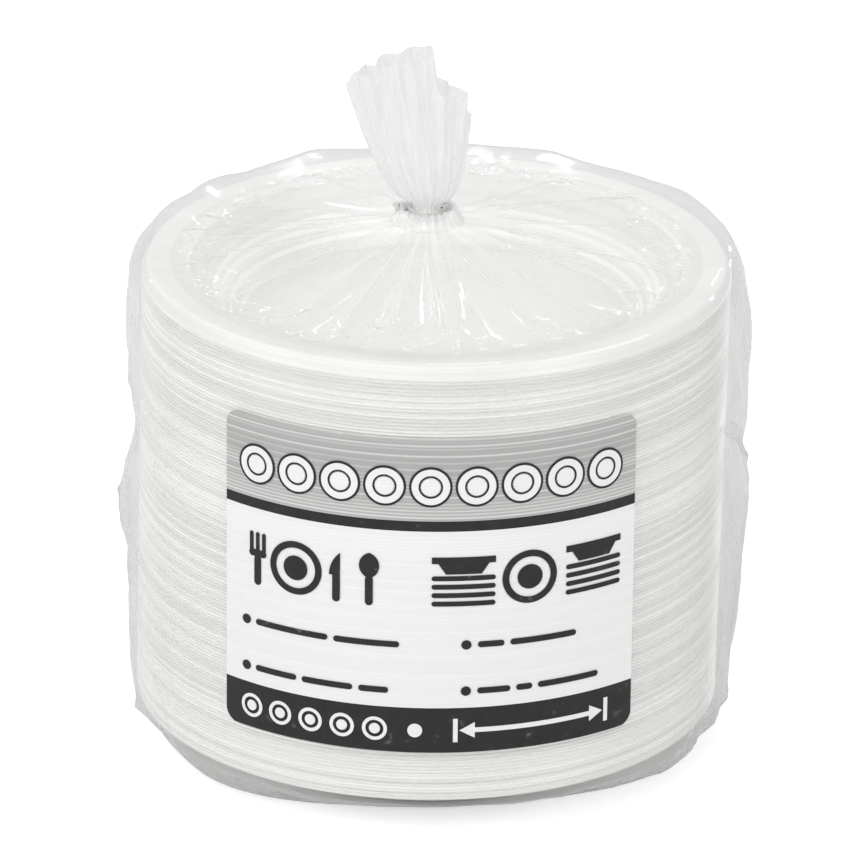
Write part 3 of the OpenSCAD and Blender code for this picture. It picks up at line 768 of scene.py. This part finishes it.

# %% [markdown]
# With every ring in place the tube becomes a mesh. Its foot closes at one point. A pattern on
# the film has to follow the film and not the room, so each point also carries how far along the
# film it lies, and the direction it faces round the bag. Near the neck many layers of film lie on
# each other, more than the mesh has, and a second value says where. A third makes the film's
# colour whiter on the cone and a little whiter on the collar, neck and tail, as painted light that
# brightens those parts.

# %% Make the film's mesh
CREASED_FROM_ROW = 24
SMOOTHING = 0.25
for vertex, place in zip(film_form.verts, film * MM):
    vertex.co = place
bmesh.ops.smooth_vert(
    film_form, verts=[v for v, r in zip(film_form.verts, row) if r > CREASED_FROM_ROW], factor=SMOOTHING,
    use_axis_x=True, use_axis_y=True, use_axis_z=True,
)
film_mesh = bpy.data.meshes.new("film_bag")
along = np.zeros(row_total + 1)
front = np.array([film[(row == r)][np.abs(off_front[row == r]).argmin()] for r in range(row_total + 1)])
along[1:] = np.cumsum(np.linalg.norm(np.diff(front, axis=0), axis=1))
gathered = np.zeros(len(tube))
painted_lightness = np.zeros(len(tube))
cone_points, cone_share = stages["cone"]
gathered[cone_points] = 0.1 * soft_step(cone_share, 0.1, 0.2) + 0.5 * soft_step(cone_share, 0.7, 1)
# Painted light: the film's colour is made whiter on the cone, and a little whiter from the collar up.
painted_lightness[cone_points] = soft_step(cone_share, 0.08, 0.2)
for name in ("collar", "neck", "tail"):
    gathered[stages[name][0]] = 1
    painted_lightness[stages[name][0]] = 0.4
gathered[stages["collar"][0]] = 0.6 + 0.4 * stages["collar"][1]
flow = film_form.verts.layers.float_vector.new("flow")
layers = film_form.verts.layers.float.new("layers")
painted_light = film_form.verts.layers.float.new("painted_light")
for vertex, direction, r, share, white in zip(film_form.verts, out, row, gathered, painted_lightness):
    vertex[flow] = (direction[0] * PLATE_R * MM, direction[1] * PLATE_R * MM, along[int(r)] * MM)
    vertex[layers] = share
    vertex[painted_light] = white
bmesh.ops.remove_doubles(film_form, verts=[v for v, r in zip(film_form.verts, row) if r == 0], dist=0.01 * MM)
bmesh.ops.recalc_face_normals(film_form, faces=film_form.faces[:])
for face in film_form.faces:
    face.smooth = True
film_form.to_mesh(film_mesh)
film_form.free()
film_bag = bpy.data.objects.new("film_bag", film_mesh)
scene.collection.objects.link(film_bag)
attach(film_bag, "root")
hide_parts("bag")
print("film triangles:", sum(len(p.vertices) - 2 for p in film_mesh.polygons))

# %% [markdown]
# The film is thin clear polythene. Seen face on it hides little, but it is slightly milky, and
# where it turns edge on to the eye it hides what is behind it. A layer weight does that. Such film
# scatters light forwards rather than stopping it, so it casts less shadow than it hides: the light
# path tells a shadow ray apart. Fine crinkles run along the film and catch the light, and they are
# bump, since they are only hundredths of a millimetre high.

# %% Group for the film's crinkles
crinkle, given, result = new_group(
    "film_crinkle", [("Fineness", "Float", 1.0), ("Stretch", "Float", 0.25)],
    [("Height", "Float"), ("Haze", "Float")],
)
film_flow = add_node(crinkle, "ShaderNodeAttribute", {"attribute_name": "flow"}).outputs["Vector"]
drawn = add_node(crinkle, "ShaderNodeCombineXYZ", X=1.0, Y=1.0, Z=given["Stretch"]).outputs[0]
multiplied = {"operation": "MULTIPLY"}
drawn = add_node(crinkle, "ShaderNodeVectorMath", multiplied, n0=film_flow, n1=drawn).outputs[0]
CRINKLE_SCALE, HAZE_SCALE = 160.0, 45.0
scale = maths(crinkle, "MULTIPLY", given["Fineness"], CRINKLE_SCALE)
ridged = {"noise_type": "RIDGED_MULTIFRACTAL"}
streaks = add_node(crinkle, "ShaderNodeTexNoise", ridged, Vector=drawn, Scale=scale, Detail=3.0).outputs[0]
crinkle.links.new(streaks, result["Height"])
haze = add_node(crinkle, "ShaderNodeTexNoise", Vector=film_flow, Scale=HAZE_SCALE, Detail=3.0).outputs[0]
crinkle.links.new(haze, result["Haze"])
print("groups:", [g.name for g in bpy.data.node_groups])

# %% Clear film
FILM_GREY = (0.74, 0.74, 0.74, 1)
FILM_LIT_WHITE = (0.97, 0.965, 0.965, 1)
HIDES_FACE_ON, HIDES_HAZY, HIDES_EDGE_ON = 0.1, 0.12, 0.6
PILED_LEAST, PILED_HAZY = 0.25, 0.5
SHADOW_LOSS = 0.6
clear_film, tree, shader = new_material("clear_film", Roughness=0.11, IOR=1.5)
folds = place_group(tree, crinkle, Fineness=1.0, Stretch=0.22)
bump = add_node(tree, "ShaderNodeBump", Strength=0.35, Distance=0.25 * MM, Height=folds["Height"]).outputs[0]
tree.links.new(bump, shader.inputs["Normal"])
edge_on = add_node(tree, "ShaderNodeLayerWeight", Blend=0.5).outputs["Facing"]
edge_on = maths(tree, "POWER", edge_on, 3.0)
hidden = maths(tree, "MULTIPLY_ADD", folds["Haze"], HIDES_HAZY, HIDES_FACE_ON)
hidden = maths(tree, "MULTIPLY_ADD", edge_on, HIDES_EDGE_ON, hidden)
piled = add_node(tree, "ShaderNodeAttribute", {"attribute_name": "layers"}).outputs["Fac"]
thick = maths(tree, "MULTIPLY_ADD", folds["Haze"], PILED_HAZY, PILED_LEAST)
hidden = maths(tree, "MULTIPLY_ADD", piled, thick, hidden)
shadow = add_node(tree, "ShaderNodeLightPath").outputs["Is Shadow Ray"]
kept = maths(tree, "MULTIPLY_ADD", shadow, -SHADOW_LOSS, 1.0)
hidden = maths(tree, "MULTIPLY", hidden, kept)
# Painted light: where the attribute is set, the film's colour moves from grey towards a lit white.
painted_light_share = add_node(tree, "ShaderNodeAttribute", {"attribute_name": "painted_light"}).outputs["Fac"]
mixed = {"data_type": "RGBA"}
colour = add_node(tree, "ShaderNodeMix", mixed, n0=painted_light_share, n6=FILM_GREY, n7=FILM_LIT_WHITE).outputs[2]
tree.links.new(colour, shader.inputs["Base Color"])
tree.links.new(add_node(tree, "ShaderNodeClamp", Value=hidden).outputs[0], shader.inputs["Alpha"])
film_mesh.materials.append(clear_film)
print("film finished")

# %% [markdown]
# The panel is ink on the film: silver, black and white. The silver is thin, so the lips of the
# plates behind it would show through it: their light lines and the shade between them are painted
# into the silver's colour, and faintly into the white field's. The black is nearly solid, with a
# few rubbed specks.

# %% Silver ink
silver_ink, tree, shader = new_material("silver_ink", Roughness=0.34, Metallic=0.25)
lines = place_group(tree, plate_lines_and_shade, Unevenness=1.2)
# Painted light lines of the plates' lips behind the ink, with painted shade between them.
painted_lip_lines = maths(tree, "MULTIPLY", lines["Line"], lines["Each"])
shade = maths(tree, "MULTIPLY_ADD", painted_lip_lines, 0.75, 0.78)
tree.links.new(tinted(tree, (0.5, 0.495, 0.49), shade), shader.inputs["Base Color"])
nodes["print_silver_band"].data.materials.clear()
nodes["print_silver_band"].data.materials.append(silver_ink)
print("silver ink")

# %% Black and white ink
black_ink, tree, shader = new_material("black_ink", Roughness=0.3, Specular_IOR_Level=0.2)
marks = place_group(tree, specks, Scale=260.0, Cut=0.66)
rubbed = maths(tree, "MULTIPLY_ADD", marks["Mask"], 4.0, 1.0)
rubbed = maths(tree, "ADD", rubbed, marks["Cloud"])
tree.links.new(tinted(tree, (0.017, 0.0165, 0.0165), rubbed), shader.inputs["Base Color"])

white_ink, tree, shader = new_material("white_ink", Roughness=0.3)
lines = place_group(tree, plate_lines_and_shade, Unevenness=1.2)
# Faint painted light lines of the plates' lips behind the ink, with painted shade between them.
painted_lip_lines = maths(tree, "MULTIPLY", lines["Line"], lines["Each"])
shade = maths(tree, "MULTIPLY_ADD", painted_lip_lines, 0.07, 0.93)
tree.links.new(tinted(tree, (0.84, 0.85, 0.84), shade), shader.inputs["Base Color"])

inked = {
    "print_dark_stripe": black_ink, "print_dark_band": black_ink, "print_dark_marks": black_ink,
    "print_white_field": white_ink, "print_white_marks": white_ink,
}
for name, ink in inked.items():
    nodes[name].data.materials.clear()
    nodes[name].data.materials.append(ink)
print("inked:", sorted(inked))

# %% [markdown]
# The tie is a steel wire in a milky plastic coat. Both come from the measured model, whose round
# wires have eight flat sides. A copy of each is merged and shaded smooth, and stands for it.

# %% Tie
tie_plastic, tree, shader = new_material("tie_plastic", Roughness=0.28, Alpha=0.5)
marks = place_group(tree, specks, Scale=900.0, Cut=0.6)
cloudy = maths(tree, "MULTIPLY_ADD", marks["Cloud"], 0.3, 0.8)
tree.links.new(tinted(tree, (0.92, 0.92, 0.9), cloudy), shader.inputs["Base Color"])
tie_steel, tree, shader = new_material("tie_steel", Metallic=0.9)
marks = place_group(tree, specks, Scale=1500.0, Cut=0.6)
tree.links.new(maths(tree, "MULTIPLY_ADD", marks["Cloud"], 0.3, 0.3), shader.inputs["Roughness"])
cloudy = maths(tree, "ADD", marks["Cloud"], 0.5)
tree.links.new(tinted(tree, (0.12, 0.12, 0.125), cloudy), shader.inputs["Base Color"])


def smooth_copy(name, finish):
    """A merged and smoothly shaded copy of a node of the measured model, which it stands for."""
    form = bmesh.new()
    form.from_mesh(nodes[name].data)
    bmesh.ops.remove_doubles(form, verts=form.verts[:], dist=0.001 * MM)
    bmesh.ops.join_triangles(form, faces=form.faces[:], angle_face_threshold=0.6, angle_shape_threshold=0.8)
    mesh = bpy.data.meshes.new("smooth_" + name)
    form.to_mesh(mesh)
    form.free()
    mesh.shade_smooth()
    mesh.set_sharp_from_angle(angle=math.radians(60))
    mesh.materials.clear()
    mesh.materials.append(finish)
    piece = bpy.data.objects.new("smooth_" + name, mesh)
    scene.collection.objects.link(piece)
    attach(piece, "root")
    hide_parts(name)
    return piece


smooth_copy("tie_coating", tie_plastic)
smooth_copy("tie_wire", tie_steel)
print("tie finished")
